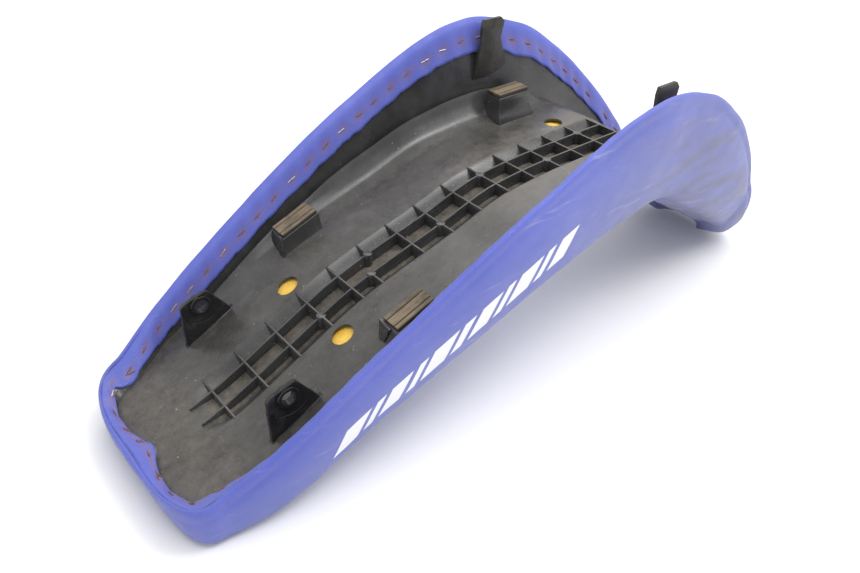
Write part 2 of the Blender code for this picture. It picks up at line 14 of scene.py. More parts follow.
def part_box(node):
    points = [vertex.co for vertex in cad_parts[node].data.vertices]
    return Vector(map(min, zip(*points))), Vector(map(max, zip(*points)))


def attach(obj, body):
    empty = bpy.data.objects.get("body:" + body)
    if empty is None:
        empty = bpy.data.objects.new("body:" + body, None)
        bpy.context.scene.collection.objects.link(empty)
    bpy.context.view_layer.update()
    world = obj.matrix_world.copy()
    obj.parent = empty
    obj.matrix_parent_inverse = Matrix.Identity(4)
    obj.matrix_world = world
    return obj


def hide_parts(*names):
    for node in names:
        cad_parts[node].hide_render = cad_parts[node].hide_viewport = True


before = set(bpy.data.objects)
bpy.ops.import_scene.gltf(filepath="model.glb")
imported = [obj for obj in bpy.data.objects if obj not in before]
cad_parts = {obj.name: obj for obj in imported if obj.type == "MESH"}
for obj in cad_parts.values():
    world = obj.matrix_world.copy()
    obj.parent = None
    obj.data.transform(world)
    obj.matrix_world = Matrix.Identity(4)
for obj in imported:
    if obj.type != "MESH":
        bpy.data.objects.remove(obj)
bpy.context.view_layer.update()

MM = 0.001
SEED = 41

# The outline, as in the CAD model: (x, value) with a smooth curve through them
REAR_END = -390.0
NOSE_END = 390.0
REAR_SPINE = -350.0
NOSE_SPINE = 330.0
REAR_SQUARENESS = 2.8
NOSE_SQUARENESS = 2.0
RIM_HALF_WIDTH = [(-350, 110.5), (-300, 124), (-212, 134), (-100, 142), (0, 145), (90, 144),
                  (174, 136), (231, 131), (284, 120), (330, 104)]
RIM_HEIGHT = [(-390, 38), (-350, 56), (-300, 88), (-195, 154), (-54, 230), (69, 278), (104, 282),
              (174, 265), (231, 227), (284, 175), (337, 101), (367, 46), (380, 28), (390, 21.5)]
PAN_HEIGHT = [(-390, 23), (-300, 54), (-230, 88), (-160, 121), (-55, 152), (15, 172), (85, 177),
              (188, 178), (222, 160), (302, 92), (372, 30), (390, 17)]
PAD_HEIGHT = [(-390, 7), (-375, 3), (-345, 0), (-320, 1), (-277, 10), (-197, 42), (-112, 72),
              (-9, 108), (74, 130), (137, 138), (160, 135), (197, 114), (313, 40), (342, 21),
              (367, 6), (380, 3), (390, 4)]
SIDE_LEAN = [(-390, 12), (-375, 4), (-350, 6), (-300, 14), (-197, 25), (0, 30), (137, 30), (330, 29),
             (372, 25), (390, 12)]
WALL_WIDTH = [(-390, 27), (-350, 25), (-322, 22), (-300, 17), (-200, 20), (0, 21), (190, 25),
              (337, 24), (390, 14)]
SHOULDER_RISE = [(-270, 0), (-240, 6), (-180, 13), (-132, 16), (-100, 22), (-60, 25), (0, 25),
                 (63, 29), (98, 30), (126, 28), (155, 20), (190, 0)]
CHANNEL_DEPTH = [(-335, 0), (-280, 10), (-200, 12), (150, 12), (192, 10), (215, 0)]
HEM_DROP = [(-390, 11), (-350, 15), (-300, 21), (-200, 27), (0, 30), (150, 32), (231, 38),
            (300, 40), (345, 26), (390, 8)]
HEM_WIDTH = [(-390, 20), (-350, 22), (-320, 24), (-280, 26), (-200, 28), (0, 31), (150, 34),
             (231, 38), (300, 40), (345, 26), (390, 8)]
SHELF_RISE = [(0, 0), (0.3, 0), (0.6, 0.03), (0.78, 0.2), (0.88, 0.6), (0.925, 0.9), (0.94, 1.0),
              (0.95, 1.0), (0.965, 0.82), (1.0, 0.52)]
SIDE_INSET = [(0, 0), (0.25, 0.08), (0.5, 0.3), (0.72, 0.6), (0.88, 0.92), (0.96, 1.25), (1, 1.8)]
SIDE_DROP = [(0, 0), (0.5, 0.5), (0.88, 0.88), (1, 0.94)]
FACE_LIFT = [(0, 0), (0.5, 0.0), (0.72, 0.006), (0.9, 0.027), (1, 0.06)]
CHANNEL_HALF_WIDTH = 32.0
CHANNEL_FLOOR_HALF_WIDTH = 18.0
RIM_INSET = 5.0
RIM_DROP = 3.0
WALL_CURVE = 0.6
HEM_SHARES = (0.2, 0.8)
PAN_THICKNESS = 2.5
VINYL = 1.5
GAP = 0.3
HEM_DENT = 1.1
HEM_LOBE = 11.0
FOAM_INSET = 4.5

# Staples: their row as a share of the hem, and the widest gap with none between
STAPLE_ROW = 0.55
STAPLE_LENGTH = 10.6
STAPLE_SPACING = 31.0
STAPLE_LIFT = 0.55
BRIGHT_SHARE = 0.16

# Rib grid, vents, and the plain bars on the side
RIB_PITCH = 35.0
FIRST_RIB = -300.0
CROSS_RIBS = 15
LONG_RIB_OFFSET = 12.3
LONG_RIB_ENDS = (-323.5, 200.0)
BROKEN_RIB = 5
BROKEN_RIB_SHIFT = -13.0
RIB_THICKNESS = 2.1
RIB_SINK = 14.0
BOSS_RADIUS = 4.6
LEFT_BOSSES = (5, 9, 13)
RIGHT_BOSSES = (3, 7, 11)
VENTS = [(-195.0, 48.0), (-195.0, -48.0), (154.0, 48.0), (154.0, -48.0)]
VENT_RADIUS = 10.0
PRINT_BARS = [(26, 6), (9, 6), (22, 7), (9, 6), (26, 6), (13, 7), (22, 6), (9, 6), (26, 6), (9, 7),
              (20, 6)]
PRINT_START = -0.226
PRINT_END = 0.025
PRINT_SLANT = 0.045

# Fittings
BUMPER_OFFSET = 95.0
PEDESTAL_HALF_WIDTH = 12.5
PEDESTAL_STEPS = ((0.0, 0.0), (1.0, 0.6), (6.0, 1.0), (12.0, 1.8), (17.0, 3.2), (20.0, 5.5), (24.0, 9.0),
                  (30.0, 9.5))
PAD_PROFILE = [(-10.5, 0), (-10.5, 3.2), (-9.8, 4.0), (-6.6, 4.1), (-6.0, 3.2), (-5.2, 3.1), (-4.6, 4.1),
               (-0.8, 4.3), (0.0, 4.35), (0.8, 4.3), (4.2, 4.1), (4.8, 3.2), (5.6, 3.1), (6.2, 4.1),
               (9.8, 4.0), (10.5, 3.2), (10.5, 0)]
PAD_STATIONS = (-21.0, -20.6, -19.8, -10, 0, 10, 19.8, 20.6, 21.0)
BUMPERS = {"middle": (-178.0, -132.0, 132.0, 149.0), "front": (103.0, 149.0, 206.0, 206.0)}
EAR_OFFSET = 81.0
EAR_HOLE = (-272.0, 99.0)
EAR_HOLE_RADIUS = 8.4
EAR_FOOT = (-291.0, -241.0)
EAR_THICKNESS = 4.0
EAR_LOWER_THICKNESS = 5.4
EAR_FOOT_SECTION = ((-5.4, 0.0), (-3.6, 2.2), (-2.4, 3.6), (2.4, 3.6), (3.6, 2.2), (5.4, 0.0))
GROMMET_PROFILE = [(6.5, -3.5), (7.1, -4.0), (9.6, -3.9), (10.4, -3.2), (10.3, -2.3), (8.1, -2.3),
                   (8.1, 2.3), (10.3, 2.3), (10.4, 3.2), (9.6, 3.9), (7.1, 4.0), (6.5, 3.5)]
TAB_OUTLINE = [(98, 218), (98.5, 258), (102.5, 279), (107.5, 285.5), (133, 285), (139.5, 279), (143, 262),
               (149, 218)]
TAB_RADII = [0, 8, 5, 3, 3, 4, 12, 0]
TAB_OFFSET = 120.0

CAMERA_PLACE = (-0.5052, -0.5695, 0.5786)
CAMERA_DOWN = 34.99
CAMERA_HEADING = 51.90
CAMERA_LENS = 36.0

random.seed(SEED)


# ---- curves and sections

def curve(points, x):
    """Values at x of a smooth curve through the points, flat beyond its ends."""
    xs, ys = np.array(points, float).T
    steps = np.diff(xs)
    slopes = np.diff(ys) / steps
    tangents = np.empty(len(xs))
    tangents[0] = slopes[0]
    tangents[-1] = slopes[-1]
    left, right = slopes[:-1], slopes[1:]
    total = np.where(left + right == 0, 1, left + right)
    tangents[1:-1] = np.where(left * right > 0, 2 * left * right / total, 0)
    x = np.clip(x, xs[0], xs[-1])
    k = np.clip(np.searchsorted(xs, x) - 1, 0, len(steps) - 1)
    t = (x - xs[k]) / steps[k]
    rise = t * t * (3 - 2 * t)
    return (ys[k] + (ys[k + 1] - ys[k]) * rise + tangents[k] * steps[k] * t * (1 - t) ** 2
            - tangents[k + 1] * steps[k] * t * t * (1 - t))


def smooth(t):
    t = np.clip(t, 0, 1)
    return t * t * (3 - 2 * t)


def quarter(centre_x, end_x, half_width, squareness, count):
    turn = np.pi / 2 * (1 - np.arange(1, count + 1) / count)
    across = np.sin(turn) ** (2 / squareness)
    along = np.cos(turn) ** (2 / squareness)
    return [(centre_x + (end_x - centre_x) * a, half_width * c) for a, c in zip(along, across)]


def rim_ring(step, fan):
    """Rim points once round, as arrays: x, y, and the x of the spine point each looks to."""
    count = int(round((NOSE_SPINE - REAR_SPINE) / step))
    stations = np.linspace(REAR_SPINE, NOSE_SPINE, count + 1)
    widths = curve(RIM_HALF_WIDTH, stations)
    rear = quarter(REAR_SPINE, REAR_END, widths[0], REAR_SQUARENESS, fan)
    nose = quarter(NOSE_SPINE, NOSE_END, widths[-1], NOSE_SQUARENESS, fan)
    left = [(x, y, REAR_SPINE) for x, y in reversed(rear)]
    left += [(x, y, x) for x, y in zip(stations, widths)]
    left += [(x, y, NOSE_SPINE) for x, y in nose]
    right = [(x, -y, s) for x, y, s in left[-2:0:-1]]
    return np.array(left + right).T


class Ring:
    """The rim, with for each rim point the direction in to the spine and the local sizes."""

    def __init__(self, step, fan):
        self.x, self.y, self.spine = rim_ring(step, fan)
        self.length = np.hypot(self.x - self.spine, self.y)
        self.out_x = (self.x - self.spine) / self.length
        self.out_y = self.y / self.length
        self.height = curve(RIM_HEIGHT, self.x)
        self.wall = curve(WALL_WIDTH, self.x)
        self.lean = curve(SIDE_LEAN, self.x)
        self.low = curve(PAD_HEIGHT, self.x)
        gap_x = np.diff(self.x, append=self.x[0])
        gap_y = np.diff(self.y, append=self.y[0])
        steps = np.hypot(gap_x, gap_y)
        self.arc = np.concatenate([[0.0], np.cumsum(steps)[:-1]])
        self.total = float(np.sum(steps))
        self.foot = self.length - self.wall
        foot_x = self.spine + self.out_x * self.foot
        self.foot_height = curve(PAN_HEIGHT, foot_x) + curve(SHOULDER_RISE, foot_x) * SHELF_RISE[-1][1]
        self.top = self.height - RIM_DROP
        self.hem_width = curve(HEM_WIDTH, self.x)
        depth = np.maximum(self.top - self.foot_height, 1.0)
        self.hem = np.clip(curve(HEM_DROP, self.x) / depth, *HEM_SHARES)

    def place(self, across, height):
        """Points at a distance from the spine and a height, in millimetres."""
        return np.stack([self.spine + self.out_x * across, self.out_y * across,
                         np.broadcast_to(height, across.shape)], axis=-1)

    def wall_point(self, share):
        """Distance from the spine and height, a share of the way down the pan's wall."""
        inset = RIM_INSET + (self.wall - RIM_INSET) * share ** WALL_CURVE
        return self.length - inset, self.top + (self.foot_height - self.top) * share


def channel_mask(y):
    """1 on the channel's floor, 0 outside it, with nearly straight sloping banks."""
    bank = CHANNEL_HALF_WIDTH - CHANNEL_FLOOR_HALF_WIDTH
    share = np.clip((CHANNEL_HALF_WIDTH - np.abs(y)) / bank, 0, 1)
    return 0.65 * share + 0.35 * smooth(share)


def pan_height(x, y):
    """Height of the pan's middle part, without the shoulder."""
    return curve(PAN_HEIGHT, x) - curve(CHANNEL_DEPTH, x) * channel_mask(y)


def floor_height(x):
    return float(curve(PAN_HEIGHT, x))


# ---- mesh helpers

def new_object(name, mesh, material, smooth_shading=True):
    data = bpy.data.meshes.new(name)
    mesh.to_mesh(data)
    mesh.free()
    item = bpy.data.objects.new(name, data)
    bpy.context.scene.collection.objects.link(item)
    if material is not None:
        data.materials.append(material)
    if smooth_shading:
        data.polygons.foreach_set("use_smooth", [True] * len(data.polygons))
    return item


def add_skin(mesh, rings, flip=False):
    """Faces between each closed ring of vertices and the next."""
    count = len(rings[0])
    for ring, inner in zip(rings, rings[1:]):
        for k in range(count):
            nxt = (k + 1) % count
            corners = (ring[k], ring[nxt], inner[nxt], inner[k])
            mesh.faces.new(corners[::-1] if flip else corners)


def loft(name, levels, material, flip=False, marks=None):
    """Surface through rings of points; marks are values to keep for each ring's points."""
    mesh = bmesh.new()
    marks = marks or {}
    for key in marks:
        mesh.verts.layers.float.new(key)
    rings = [[mesh.verts.new(Vector(point) * MM) for point in level] for level in levels]
    for key, rows in marks.items():
        layer = mesh.verts.layers.float[key]
        for ring, row in zip(rings, rows):
            for vertex, value in zip(ring, np.broadcast_to(row, len(ring))):
                vertex[layer] = float(value)
    add_skin(mesh, rings, flip)
    bmesh.ops.remove_doubles(mesh, verts=mesh.verts, dist=0.02 * MM)
    bmesh.ops.dissolve_degenerate(mesh, edges=mesh.edges, dist=0.005 * MM)
    return new_object(name, mesh, material)


def apply_modifier(item, kind, **settings):
    modifier = item.modifiers.new(kind.lower(), kind)
    for key, value in settings.items():
        setattr(modifier, key, value)
    evaluated = item.evaluated_get(bpy.context.evaluated_depsgraph_get())
    data = bpy.data.meshes.new_from_object(evaluated)
    item.modifiers.clear()
    old = item.data
    item.data = data
    bpy.data.meshes.remove(old)


def shade(item, angle):
    """Smooth shading with sharp edges where faces meet at more than the angle."""
    item.data.polygons.foreach_set("use_smooth", [True] * len(item.data.polygons))
    item.data.set_sharp_from_angle(angle=math.radians(angle))


def cut(item, mesh):
    """Takes a closed mesh out of an object."""
    cutter = new_object("cutter", mesh, None)
    apply_modifier(item, "BOOLEAN", operation="DIFFERENCE", solver="EXACT", object=cutter)
    bpy.data.objects.remove(cutter, do_unlink=True)


def prism(mesh, outline, depth):
    """Adds a solid from a flat outline pushed along a vector; in millimetres."""
    add_slab(mesh, outline, [Vector(point) + Vector(depth) for point in outline])


def add_slab(mesh, near_outline, far_outline):
    """Adds a solid between two outlines with the same number of points; in millimetres."""
    near = [mesh.verts.new(Vector(point) * MM) for point in near_outline]
    far = [mesh.verts.new(Vector(point) * MM) for point in far_outline]
    mesh.faces.new(near)
    mesh.faces.new(list(reversed(far)))
    for k in range(len(near)):
        nxt = (k + 1) % len(near)
        mesh.faces.new((near[nxt], near[k], far[k], far[nxt]))


def rounded(corners, radii, steps=6):
    """A polygon's corners with arcs in place of those that have a radius."""
    outline = []
    count = len(corners)
    for k, (corner, radius) in enumerate(zip(corners, radii)):
        here = Vector(corner)
        if not radius:
            outline.append(here)
            continue
        to_last = (Vector(corners[k - 1]) - here).normalized()
        to_next = (Vector(corners[(k + 1) % count]) - here).normalized()
        half = to_last.angle(to_next) / 2
        centre = here + (to_last + to_next).normalized() * (radius / math.sin(half))
        start = here + to_last * (radius / math.tan(half)) - centre
        end = here + to_next * (radius / math.tan(half)) - centre
        for step in range(steps + 1):
            outline.append(centre + start.slerp(end, step / steps, start))
    return outline


def bevel_and_smooth(item, width, segments, angle):
    apply_modifier(item, "BEVEL", width=width * MM, segments=segments, limit_method="ANGLE",
                   angle_limit=math.radians(angle))
    shade(item, angle)


def bevelled(name, mesh, material, width, segments, angle):
    """Object from a closed mesh, its faces turned outwards and its sharp edges rounded."""
    bmesh.ops.recalc_face_normals(mesh, faces=mesh.faces)
    item = new_object(name, mesh, material)
    bevel_and_smooth(item, width, segments, angle)
    return item


def join(name, items):
    """One object from several, all with identity transforms."""
    mesh = bmesh.new()
    for item in items:
        mesh.from_mesh(item.data)
    material = items[0].data.materials[0]
    for item in items:
        bpy.data.objects.remove(item, do_unlink=True)
    return new_object(name, mesh, material, smooth_shading=False)


def finish_piece(item, nodes):
    """Fixes a visible piece to the body, in place of the CAD nodes named."""
    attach(item, "root")
    if nodes:
        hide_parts(*nodes)


# ---- materials

class Nodes:
    """Short hand for a material's node tree."""

    def __init__(self, name):
        self.material = bpy.data.materials.new(name)
        self.material.use_nodes = True
        self.tree = self.material.node_tree
        self.shader = self.tree.nodes["Principled BSDF"]
        self.where = self.add("ShaderNodeTexCoord").outputs["Object"]

    def add(self, kind, **values):
        node = self.tree.nodes.new(kind)
        for key, value in values.items():
            setattr(node, key, value)
        return node

    def link(self, source, target):
        self.tree.links.new(source, target)

    def feed(self, name, source):
        self.link(source, self.shader.inputs[name])

    def set(self, **values):
        for key, value in values.items():
            self.shader.inputs[key.replace("_", " ")].default_value = value

    def mapped(self, scale=(1, 1, 1), turn=(0, 0, 0)):
        node = self.add("ShaderNodeMapping")
        node.inputs["Scale"].default_value = scale
        node.inputs["Rotation"].default_value = turn
        self.link(self.where, node.inputs["Vector"])
        return node.outputs["Vector"]

    def noise(self, scale, detail=4.0, rough=0.55, where=None, distortion=0.0):
        node = self.add("ShaderNodeTexNoise")
        node.inputs["Scale"].default_value = scale
        node.inputs["Detail"].default_value = detail
        node.inputs["Roughness"].default_value = rough
        node.inputs["Distortion"].default_value = distortion
        self.link(where or self.where, node.inputs["Vector"])
        return node.outputs["Fac"]

    def voronoi(self, scale):
        node = self.add("ShaderNodeTexVoronoi")
        node.inputs["Scale"].default_value = scale
        self.link(self.where, node.inputs["Vector"])
        return node.outputs["Distance"]

    def ramp(self, source, low, high, start=0.0, end=1.0):
        """Straight ramp of a value from low..high to start..end, clamped."""
        node = self.add("ShaderNodeMapRange")
        node.inputs["From Min"].default_value = low
        node.inputs["From Max"].default_value = high
        node.inputs["To Min"].default_value = start
        node.inputs["To Max"].default_value = end
        self.link(source, node.inputs["Value"])
        return node.outputs["Result"]

    def math(self, operation, first, second):
        node = self.add("ShaderNodeMath", operation=operation)
        for value, socket in ((first, node.inputs[0]), (second, node.inputs[1])):
            if isinstance(value, (int, float)):
                socket.default_value = value
            else:
                self.link(value, socket)
        return node.outputs[0]

    def times(self, first, second):
        return self.math("MULTIPLY", first, second)

    def mix(self, factor, first, second):
        node = self.add("ShaderNodeMix", data_type="RGBA")
        sockets = [s for s in node.inputs if s.enabled]
        for value, socket in ((factor, sockets[0]), (first, sockets[1]), (second, sockets[2])):
            if isinstance(value, (int, float)):
                socket.default_value = value
            elif isinstance(value, tuple):
                socket.default_value = (*value, 1.0)
            else:
                self.link(value, socket)
        return [s for s in node.outputs if s.enabled][0]

    def bump(self, height, distance, strength=1.0, normal=None):
        node = self.add("ShaderNodeBump")
        node.inputs["Strength"].default_value = strength
        node.inputs["Distance"].default_value = distance
        self.link(height, node.inputs["Height"])
        if normal is not None:
            self.link(normal, node.inputs["Normal"])
        return node.outputs["Normal"]

    def axes(self):
        node = self.add("ShaderNodeSeparateXYZ")
        self.link(self.where, node.inputs[0])
        return node.outputs

    def upward(self, low, high):
        """1 where the surface faces up, 0 where it stands steep."""
        node = self.add("ShaderNodeNewGeometry")
        split = self.add("ShaderNodeSeparateXYZ")
        self.link(node.outputs["Normal"], split.inputs[0])
        return self.ramp(split.outputs[2], low, high)

    def attribute(self, name):
        return self.add("ShaderNodeAttribute", attribute_name=name).outputs["Fac"]


def vinyl_material():
    m = Nodes("vinyl_blue")
    x = m.axes()["X"]
    outside = m.attribute("outside")
    down = m.attribute("down")
    cloudy = m.noise(9.0, 5.0, 0.6)
    colour = m.mix(m.ramp(cloudy, 0.35, 0.7), (0.074, 0.100, 0.440), (0.108, 0.134, 0.505))
    # Paler and greyer down the side, partly wear and partly painted light bounced up from the floor;
    # greyer towards the front from wear
    front = m.ramp(x, -0.05, 0.25)
    worn = m.times(m.ramp(down, 0.08, 0.95), outside)
    patchy = m.ramp(m.noise(16.0, 5.0, 0.65), 0.30, 0.70, 0.45, 1.0)
    colour = m.mix(m.times(m.times(worn, patchy), 0.70), colour, (0.190, 0.205, 0.400))
    colour = m.mix(m.times(m.times(front, outside), 0.45), colour, (0.190, 0.200, 0.345))
    # Grey-brown grime rubbed in slanting streaks over the front wing
    streaks = m.noise(9.0, 6.0, 0.62, m.mapped((1.0, 1.0, 3.4), (0.0, 0.75, 0.0)), 0.8)
    grime = m.times(m.ramp(streaks, 0.42, 0.66), m.ramp(x, 0.02, 0.20))
    grime = m.times(grime, m.times(outside, m.ramp(down, 0.02, 0.25)))
    colour = m.mix(m.times(grime, 0.85), colour, (0.150, 0.143, 0.165))
    scuffs = m.noise(30.0, 6.0, 0.7, m.mapped((0.5, 1.0, 4.0), (0.0, 0.8, 0.0)), 0.4)
    scuff = m.times(m.ramp(scuffs, 0.60, 0.72), outside)
    colour = m.mix(m.times(scuff, 0.35), colour, (0.50, 0.49, 0.58))
    rear = m.ramp(x, -0.345, -0.372)
    soiled = m.times(m.ramp(m.noise(34.0, 6.0, 0.7), 0.50, 0.66), rear)
    colour = m.mix(m.times(soiled, 0.22), colour, (0.24, 0.21, 0.26))
    # Rust and dirt pressed into the hem round the staples
    stain = m.times(m.attribute("rust"), m.ramp(m.noise(240.0, 5.0, 0.72), 0.34, 0.60))
    colour = m.mix(m.times(stain, 0.72), colour, (0.235, 0.125, 0.105))
    specks = m.ramp(m.noise(420.0, 2.0, 0.5), 0.70, 0.78)
    colour = m.mix(m.times(specks, 0.30), colour, (0.06, 0.06, 0.16))
    white = print_mask(m, x, down, outside)
    chipped = m.ramp(m.noise(210.0, 5.0, 0.7), 0.27, 0.34)
    colour = m.mix(m.times(white, chipped), colour, (0.84, 0.84, 0.84))
    m.feed("Base Color", colour)
    rough = m.ramp(m.noise(55.0, 4.0, 0.6), 0.3, 0.7, 0.40, 0.56)
    m.feed("Roughness", rough)
    m.set(Specular_IOR_Level=0.5, Sheen_Weight=0.10, Sheen_Roughness=0.5)
    grain = m.voronoi(900.0)
    fine = m.noise(1900.0, 3.0, 0.6)
    normal = m.bump(grain, 0.00032, 0.85)
    normal = m.bump(fine, 0.00014, 0.6, normal)
    normal = m.bump(m.noise(30.0, 4.0, 0.55), 0.0011, 0.30, normal)
    m.feed("Normal", normal)
    return m.material


def print_mask(m, x, down, outside):
    """1 on plain slanted bars along the side, 0 elsewhere."""
    slant = m.math("ADD", x, m.times(down, PRINT_SLANT))
    place = m.ramp(slant, PRINT_START, PRINT_END)
    bars = m.add("ShaderNodeValToRGB")
    bars.color_ramp.interpolation = "CONSTANT"
    stops = [(0.0, 0.0)]
    at = 0.0
    total = sum(wide + gap for wide, gap in PRINT_BARS)
    for wide, gap in PRINT_BARS:
        stops.append((at / total + 0.004, 1.0))
        stops.append(((at + wide) / total + 0.004, 0.0))
        at += wide + gap
    elements = bars.color_ramp.elements
    while len(elements) < len(stops):
        elements.new(0.5)
    for element, (position, value) in zip(elements, stops):
        element.position = min(position, 1.0)
        element.color = (value, value, value, 1.0)
    m.link(place, bars.inputs["Fac"])
    low = m.ramp(x, -0.26, 0.0, 0.69, 0.65)
    band = m.times(m.math("GREATER_THAN", down, 0.44), m.math("LESS_THAN", down, low))
    return m.times(m.times(bars.outputs["Color"], band), m.math("GREATER_THAN", outside, 0.9))


def pan_material():
    m = Nodes("pan_plastic")
    up = m.upward(0.72, 0.95)
    mottled = m.noise(24.0, 6.0, 0.65)
    colour = m.mix(m.ramp(mottled, 0.35, 0.7), (0.024, 0.0245, 0.025), (0.050, 0.050, 0.050))
    streaks = m.noise(60.0, 5.0, 0.7, m.mapped((0.25, 1.0, 1.0)))
    scuffed = m.times(m.ramp(streaks, 0.52, 0.78), up)
    colour = m.mix(m.times(scuffed, 0.5), colour, (0.125, 0.124, 0.122))
    # Paler grey patches on faces that look up: painted sheen
    painted_sheen = m.times(m.ramp(m.noise(12.0, 5.0, 0.6), 0.35, 0.7, 0.0, 0.20), up)
    colour = m.mix(painted_sheen, colour, (0.110, 0.108, 0.102))
    dust_noise = m.ramp(m.noise(120.0, 6.0, 0.75), 0.30, 0.64)
    dust = m.times(m.times(m.attribute("dust"), dust_noise), up)
    colour = m.mix(m.times(dust, 0.8), colour, (0.165, 0.140, 0.108))
    grit = m.times(m.ramp(m.noise(520.0, 3.0, 0.6), 0.62, 0.72), m.attribute("dust"))
    colour = m.mix(m.times(grit, 0.55), colour, (0.40, 0.33, 0.24))
    specks = m.ramp(m.noise(330.0, 2.0, 0.5), 0.745, 0.785)
    colour = m.mix(m.times(specks, 0.75), colour, (0.55, 0.52, 0.46))
    m.feed("Base Color", colour)
    rough = m.ramp(m.noise(38.0, 5.0, 0.65), 0.3, 0.7, 0.17, 0.34)
    rough = m.math("ADD", rough, m.times(dust, 0.35))
    m.feed("Roughness", rough)
    m.set(Specular_IOR_Level=0.62)
    normal = m.bump(m.noise(1600.0, 3.0, 0.6), 0.00006, 0.6)
    scratch = m.noise(420.0, 4.0, 0.7, m.mapped((0.12, 1.0, 1.0), (0, 0, 0.4)))
    normal = m.bump(scratch, 0.0001, 0.35, normal)
    normal = m.bump(m.noise(34.0, 3.0, 0.5), 0.0009, 0.35, normal)
    m.feed("Normal", normal)
    return m.material


def ear_material():
    m = Nodes("ear_plastic")
    wear = m.ramp(m.noise(90.0, 5.0, 0.7), 0.5, 0.75)
    colour = m.mix(m.times(wear, 0.4), (0.012, 0.012, 0.013), (0.09, 0.085, 0.075))
    m.feed("Base Color", colour)
    m.feed("Roughness", m.ramp(m.noise(60.0, 4.0, 0.6), 0.3, 0.7, 0.22, 0.42))
    m.feed("Normal", m.bump(m.noise(150.0, 4.0, 0.6), 0.0004, 0.4))
    return m.material


def tab_material():
    m = Nodes("tab_plastic")
    wear = m.ramp(m.noise(70.0, 6.0, 0.7), 0.42, 0.70)
    colour = m.mix(wear, (0.022, 0.021, 0.020), (0.055, 0.051, 0.044))
    specks = m.ramp(m.noise(380.0, 2.0, 0.5), 0.74, 0.80)
    colour = m.mix(m.times(specks, 0.6), colour, (0.40, 0.37, 0.31))
    m.feed("Base Color", colour)
    m.feed("Roughness", m.ramp(m.noise(50.0, 4.0, 0.6), 0.3, 0.7, 0.42, 0.62))
    m.feed("Normal", m.bump(m.noise(300.0, 4.0, 0.6), 0.0003, 0.4))
    return m.material


def foam_material():
    m = Nodes("foam_yellow")
    colour = m.mix(m.ramp(m.noise(90.0, 5.0, 0.7), 0.35, 0.7), (0.80, 0.47, 0.06), (0.95, 0.66, 0.16))
    crack = m.ramp(m.noise(45.0, 4.0, 0.7, None, 1.2), 0.62, 0.66)
    colour = m.mix(m.times(crack, 0.8), colour, (0.10, 0.045, 0.01))
    m.feed("Base Color", colour)
    m.set(Roughness=0.95, Specular_IOR_Level=0.15)
    normal = m.bump(m.voronoi(1400.0), 0.0006, 0.8)
    m.feed("Normal", m.bump(m.noise(180.0, 4.0, 0.6), 0.0012, 0.5, normal))
    return m.material


def rubber_material():
    m = Nodes("pad_rubber")
    top = m.attribute("worn")
    grain = m.noise(90.0, 6.0, 0.7, m.mapped((0.16, 1.0, 1.0)))
    worn = m.times(top, m.ramp(grain, 0.3, 0.6))
    colour = m.mix(worn, (0.030, 0.026, 0.022), (0.20, 0.155, 0.10))
    m.feed("Base Color", colour)
    m.set(Roughness=0.62, Specular_IOR_Level=0.35)
    normal = m.bump(grain, 0.0005, 0.6)
    m.feed("Normal", m.bump(m.noise(700.0, 3.0, 0.6), 0.00015, 0.5, normal))
    return m.material


def staple_material(name, rusty):
    m = Nodes(name)
    patches = m.ramp(m.noise(500.0, 4.0, 0.7), 0.35, 0.62)
    if rusty:
        colour = m.mix(patches, (0.115, 0.045, 0.030), (0.26, 0.13, 0.10))
        m.set(Metallic=0.25, Roughness=0.72)
    else:
        colour = m.mix(patches, (0.62, 0.61, 0.60), (0.46, 0.40, 0.34))
        m.set(Metallic=0.9, Roughness=0.33)
    m.feed("Base Color", colour)
    m.feed("Normal", m.bump(m.noise(1500.0, 3.0, 0.6), 0.00012, 0.6))
    return m.material


def plain_material(name, colour, roughness):
    m = Nodes(name)
    tint = m.mix(m.ramp(m.noise(200.0, 3.0, 0.6), 0.3, 0.7), colour, tuple(c * 0.8 for c in colour))
    m.feed("Base Color", tint)
    m.set(Roughness=roughness)
    return m.material


# ---- base pan

def pan_levels(ring):
    """Rings of the pan's visible face, from under the rim in to the spine."""
    levels = []
    for share in np.linspace(0, 1, 26) ** 1.3:
        levels.append(ring.place(*ring.wall_point(share)))
    half = np.minimum(CHANNEL_HALF_WIDTH + 3.0, ring.foot * 0.7)
    for share in 1 - np.linspace(0, 1, 46)[1:] ** 1.5:
        across = half + (ring.foot - half) * share
        shelf = np.maximum(ring.foot - CHANNEL_HALF_WIDTH, 1)
        shelf_share = np.clip((across - CHANNEL_HALF_WIDTH) / shelf, 0, 1)
        x = ring.spine + ring.out_x * across
        rise = curve(SHOULDER_RISE, x) * curve(SHELF_RISE, shelf_share)
        levels.append(ring.place(across, pan_height(x, ring.out_y * across) + rise))
    for share in np.linspace(1, 0, 26)[1:]:
        across = half * share
        x = ring.spine + ring.out_x * across
        levels.append(ring.place(across, pan_height(x, ring.out_y * across)))
    return levels


def add_plate(mesh, start, end):
    """Upright rib from one top point to another."""
    along = (Vector(end) - Vector(start)).normalized()
    side = along.cross(Vector((0, 0, 1))).normalized() * RIB_THICKNESS / 2
    low_start = Vector(start) - Vector((0, 0, RIB_SINK))
    low_end = Vector(end) - Vector((0, 0, RIB_SINK))
    outline = [Vector(start) - side, Vector(end) - side, low_end - side, low_start - side]
    prism(mesh, outline, side * 2)


